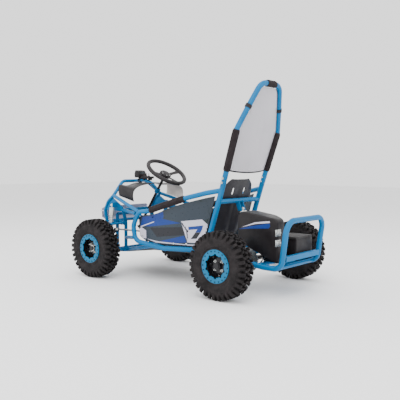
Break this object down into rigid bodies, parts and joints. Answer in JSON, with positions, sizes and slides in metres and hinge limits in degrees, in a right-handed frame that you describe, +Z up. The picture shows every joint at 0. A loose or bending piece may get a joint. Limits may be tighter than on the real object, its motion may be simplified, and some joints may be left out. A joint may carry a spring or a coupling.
{
  "type": "kart chassis",
  "caption": "Off-road kart chassis of welded tube with roll hoop and net, sprung swing arm and solid rear axle, double-arm front suspension, steering, pedals and bucket seat.",
  "frame": {"origin": "on the ground, in the middle of the length and on the centre line", "axes": "+X forward, +Y to the driver's left, +Z up"},
  "size_m": [1.337, 0.812, 1.0685],
  "materials": {
    "frame_blue": "gloss powder coat",
    "steel_zinc": "zinc plated",
    "steel_black": "satin black",
    "ring_blue": "satin",
    "tyre_black": "matt rubber",
    "pad_foam": "matt foam",
    "net_grey": "woven mesh",
    "plastic_black": "moulded",
    "panel_dark": "printed",
    "panel_light": "printed",
    "pan_grey": "matt",
    "aluminium": "as cast",
    "spring_steel": "gloss"
  },
  "bodies": {
    "chassis": {"hoop_base": "frame_blue", "side_frame_left": "frame_blue", "side_frame_right": "frame_blue", "floor_frame": "frame_blue", "front_bulkhead": "frame_blue", "front_hoop": "frame_blue", "roll_hoop": "frame_blue", "bolts": "steel_zinc", "floor_pan": "pan_grey", "cowl": "plastic_black", "nose_panel": "panel_light", "seat_shell": "plastic_black", "side_panels": "panel_dark", "rail_pads": "pad_foam", "hoop_pads": "pad_foam", "net": "net_grey", "display_box": "plastic_black"},
    "steering": {"steering_wheel": "plastic_black", "steering_column": "steel_black"},
    "swing_arm": {"swing_arm": "frame_blue", "axle_bearings": "steel_zinc", "motor": "aluminium", "battery_box": "plastic_black", "rear_cover": "plastic_black"},
    "rear_axle": {"rear_axle": "steel_zinc", "sprocket": "steel_zinc", "brake_disc": "steel_zinc", "rear_tyres": "tyre_black", "rear_rims": "steel_black", "rear_bead_rings": "ring_blue"},
    "motor_pinion": {"motor_pinion": "steel_zinc"},
    "throttle_pedal": {"throttle_pedal": "steel_black"},
    "brake_pedal": {"brake_pedal": "steel_black"},
    "rear_shock_body": {"rear_shock_body": "aluminium", "rear_shock_spring": "spring_steel"},
    "rear_shock_rod": {"rear_shock_rod": "steel_zinc"},
    "lower_arm_left": {"lower_arm_left": "frame_blue"},
    "upper_arm_left": {"upper_arm_left": "frame_blue"},
    "kingpin_left": {"kingpin_left": "steel_zinc"},
    "knuckle_left": {"knuckle_left": "steel_black"},
    "wheel_left": {"tyre_left": "tyre_black", "rim_left": "steel_black", "bead_ring_left": "ring_blue"},
    "tie_end_left": {"tie_end_left": "steel_zinc"},
    "tie_rod_left": {"tie_rod_left": "steel_zinc"},
    "shock_body_left": {"shock_body_left": "aluminium", "shock_spring_left": "spring_steel"},
    "shock_rod_left": {"shock_rod_left": "steel_zinc"},
    "lower_arm_right": {"lower_arm_right": "frame_blue"},
    "upper_arm_right": {"upper_arm_right": "frame_blue"},
    "kingpin_right": {"kingpin_right": "steel_zinc"},
    "knuckle_right": {"knuckle_right": "steel_black"},
    "wheel_right": {"tyre_right": "tyre_black", "rim_right": "steel_black", "bead_ring_right": "ring_blue"},
    "tie_end_right": {"tie_end_right": "steel_zinc"},
    "tie_rod_right": {"tie_rod_right": "steel_zinc"},
    "shock_body_right": {"shock_body_right": "aluminium", "shock_spring_right": "spring_steel"},
    "shock_rod_right": {"shock_rod_right": "steel_zinc"}
  },
  "joints": [
    {"name": "steering", "type": "hinge", "parent": "chassis", "child": "steering", "pos_m": [0.2775, 0, 0.597], "axis": [-0.5561, 0, 0.8311], "range_deg": [-30, 30]},
    {"name": "lower_arm_left", "type": "hinge", "parent": "chassis", "child": "lower_arm_left", "pos_m": [0.4975, 0.174, 0.14], "axis": [1, 0, 0], "range_deg": [-10, 10], "stiffness_Nm_per_rad": 260, "springref_deg": -3.44},
    {"name": "upper_arm_left", "type": "hinge", "parent": "chassis", "child": "upper_arm_left", "pos_m": [0.4975, 0.174, 0.296], "axis": [1, 0, 0], "range_deg": [-10.5, 10.5]},
    {"name": "kingpin_left", "type": "hinge", "parent": "lower_arm_left", "child": "kingpin_left", "pos_m": [0.4975, 0.287, 0.14], "axis": [1, 0, 0], "range_deg": [-10.5, 10.5]},
    {"name": "knuckle_left", "type": "hinge", "parent": "kingpin_left", "child": "knuckle_left", "pos_m": [0.4975, 0.287, 0.165], "axis": [0, 0, 1], "range_deg": [-18, 18]},
    {"name": "front_wheel_left", "type": "hinge", "parent": "knuckle_left", "child": "wheel_left", "pos_m": [0.4975, 0.358, 0.165], "axis": [0, 1, 0], "continuous": true},
    {"name": "tie_end_left", "type": "hinge", "parent": "steering", "child": "tie_end_left", "pos_m": [0.44951, 0.014, 0.23202], "axis": [-0.5561, 0, 0.8311], "range_deg": [-31, 31]},
    {"name": "tie_rod_left", "type": "hinge", "parent": "tie_end_left", "child": "tie_rod_left", "pos_m": [0.44951, 0.014, 0.23202], "axis": [1, 0, 0], "range_deg": [-6, 6]},
    {"name": "shock_hinge_left", "type": "hinge", "parent": "chassis", "child": "shock_body_left", "pos_m": [0.4975, 0.227, 0.402], "axis": [1, 0, 0], "range_deg": [-3, 3]},
    {"name": "shock_slide_left", "type": "slide", "parent": "shock_body_left", "child": "shock_rod_left", "axis": [0, 0.12, -0.9928], "range_m": [-0.018, 0.018], "deforming": ["shock_spring_left"]},
    {"name": "lower_arm_right", "type": "hinge", "parent": "chassis", "child": "lower_arm_right", "pos_m": [0.4975, -0.174, 0.14], "axis": [-1, 0, 0], "range_deg": [-10, 10], "stiffness_Nm_per_rad": 260, "springref_deg": -3.44},
    {"name": "upper_arm_right", "type": "hinge", "parent": "chassis", "child": "upper_arm_right", "pos_m": [0.4975, -0.174, 0.296], "axis": [-1, 0, 0], "range_deg": [-10.5, 10.5]},
    {"name": "kingpin_right", "type": "hinge", "parent": "lower_arm_right", "child": "kingpin_right", "pos_m": [0.4975, -0.287, 0.14], "axis": [-1, 0, 0], "range_deg": [-10.5, 10.5]},
    {"name": "knuckle_right", "type": "hinge", "parent": "kingpin_right", "child": "knuckle_right", "pos_m": [0.4975, -0.287, 0.165], "axis": [0, 0, 1], "range_deg": [-18, 18]},
    {"name": "front_wheel_right", "type": "hinge", "parent": "knuckle_right", "child": "wheel_right", "pos_m": [0.4975, -0.358, 0.165], "axis": [0, 1, 0], "continuous": true},
    {"name": "tie_end_right", "type": "hinge", "parent": "steering", "child": "tie_end_right", "pos_m": [0.44951, -0.014, 0.23202], "axis": [-0.5561, 0, 0.8311], "range_deg": [-31, 31]},
    {"name": "tie_rod_right", "type": "hinge", "parent": "tie_end_right", "child": "tie_rod_right", "pos_m": [0.44951, -0.014, 0.23202], "axis": [-1, 0, 0], "range_deg": [-6, 6]},
    {"name": "shock_hinge_right", "type": "hinge", "parent": "chassis", "child": "shock_body_right", "pos_m": [0.4975, -0.227, 0.402], "axis": [-1, 0, 0], "range_deg": [-3, 3]},
    {"name": "shock_slide_right", "type": "slide", "parent": "shock_body_right", "child": "shock_rod_right", "axis": [0, -0.12, -0.9928], "range_m": [-0.018, 0.018], "deforming": ["shock_spring_right"]},
    {"name": "throttle_pedal", "type": "hinge", "parent": "chassis", "child": "throttle_pedal", "pos_m": [0.3625, -0.085, 0.1545], "axis": [0, 1, 0], "range_deg": [0, 18], "stiffness_Nm_per_rad": 1.5, "springref_deg": -11.46},
    {"name": "brake_pedal", "type": "hinge", "parent": "chassis", "child": "brake_pedal", "pos_m": [0.3625, 0.085, 0.1545], "axis": [0, 1, 0], "range_deg": [0, 18], "stiffness_Nm_per_rad": 3, "springref_deg": -11.46},
    {"name": "swing_arm", "type": "hinge", "parent": "chassis", "child": "swing_arm", "pos_m": [-0.2055, 0, 0.184], "axis": [0, 1, 0], "range_deg": [-6, 6], "stiffness_Nm_per_rad": 900, "springref_deg": -1.72},
    {"name": "rear_axle", "type": "hinge", "parent": "swing_arm", "child": "rear_axle", "pos_m": [-0.3975, 0, 0.165], "axis": [0, 1, 0], "continuous": true},
    {"name": "motor_pinion", "type": "hinge", "parent": "swing_arm", "child": "motor_pinion", "pos_m": [-0.5095, 0.121, 0.222], "axis": [0, 1, 0], "continuous": true},
    {"name": "rear_shock_hinge", "type": "hinge", "parent": "chassis", "child": "rear_shock_body", "pos_m": [-0.2695, 0, 0.408], "axis": [0, 1, 0], "range_deg": [-3, 3]},
    {"name": "rear_shock_slide", "type": "slide", "parent": "rear_shock_body", "child": "rear_shock_rod", "axis": [-0.2773, 0, -0.9608], "range_m": [-0.018, 0.018], "deforming": ["rear_shock_spring"]}
  ],
  "couplings": [
    {"joint": "upper_arm_left", "follows": "lower_arm_left", "ratio": 1},
    {"joint": "kingpin_left", "follows": "lower_arm_left", "ratio": -1},
    {"joint": "knuckle_left", "follows": "steering", "ratio": 0.5714},
    {"joint": "tie_end_left", "follows": "steering", "ratio": -1},
    {"joint": "tie_rod_left", "follows": "lower_arm_left", "ratio": 0.42},
    {"joint": "shock_hinge_left", "follows": "lower_arm_left", "ratio": -0.05138},
    {"joint": "shock_slide_left", "follows": "lower_arm_left", "m_per_rad": -0.083553},
    {"joint": "upper_arm_right", "follows": "lower_arm_right", "ratio": 1},
    {"joint": "kingpin_right", "follows": "lower_arm_right", "ratio": -1},
    {"joint": "knuckle_right", "follows": "steering", "ratio": 0.5714},
    {"joint": "tie_end_right", "follows": "steering", "ratio": -1},
    {"joint": "tie_rod_right", "follows": "lower_arm_right", "ratio": 0.42},
    {"joint": "shock_hinge_right", "follows": "lower_arm_right", "ratio": -0.05138},
    {"joint": "shock_slide_right", "follows": "lower_arm_right", "m_per_rad": -0.083553},
    {"joint": "motor_pinion", "follows": "rear_axle", "ratio": 4},
    {"joint": "rear_shock_hinge", "follows": "swing_arm", "ratio": 0.02007},
    {"joint": "rear_shock_slide", "follows": "swing_arm", "m_per_rad": -0.1234}
  ]
}
